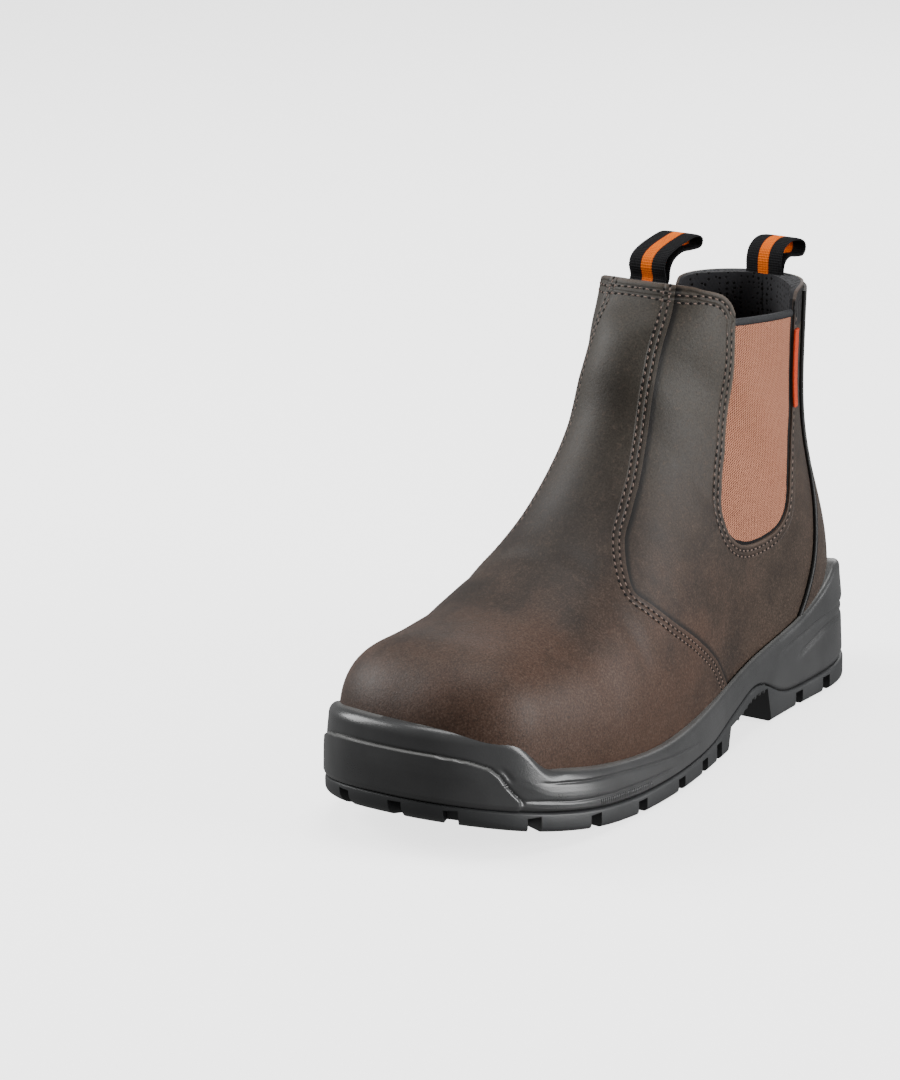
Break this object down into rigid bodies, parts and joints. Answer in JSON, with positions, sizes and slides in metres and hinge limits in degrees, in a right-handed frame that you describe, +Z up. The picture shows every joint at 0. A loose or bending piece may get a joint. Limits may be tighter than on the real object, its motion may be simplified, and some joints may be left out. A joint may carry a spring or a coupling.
{
  "type": "side gore work boot",
  "caption": "Pull-on safety work boot with elastic side gores, webbing pull loops, heel counter and moulded lugged sole; left foot.",
  "frame": {"origin": "middle of the boot's box on the floor it stands on", "axes": "+Z up, toe towards -Y, heel towards +Y, lateral side towards +X"},
  "size_m": [0.1176, 0.3056, 0.2101],
  "materials": {
    "leather": "oiled nubuck, dark brown",
    "elastic": "woven elastic, pinkish brown",
    "binding": "folded tape, dark grey",
    "piping": "black cord edge",
    "insole": "mesh-covered foam, black",
    "midsole": "moulded polyurethane, satin dark grey",
    "tread": "moulded rubber, dark grey",
    "webbing": "ribbed webbing, black with an orange stripe",
    "tab": "woven tape, plain orange"
  },
  "bodies": {
    "root": {"upper": "leather", "gore_lateral": "elastic", "gore_medial": "elastic", "gore_binding_lateral": "binding", "gore_binding_medial": "binding", "heel_counter": "leather", "piping_lateral": "piping", "piping_medial": "piping", "insole": "insole", "midsole": "midsole", "outsole": "tread", "pull_loop_front": "webbing", "pull_loop_back": "webbing", "side_tab": "tab"}
  },
  "joints": []
}
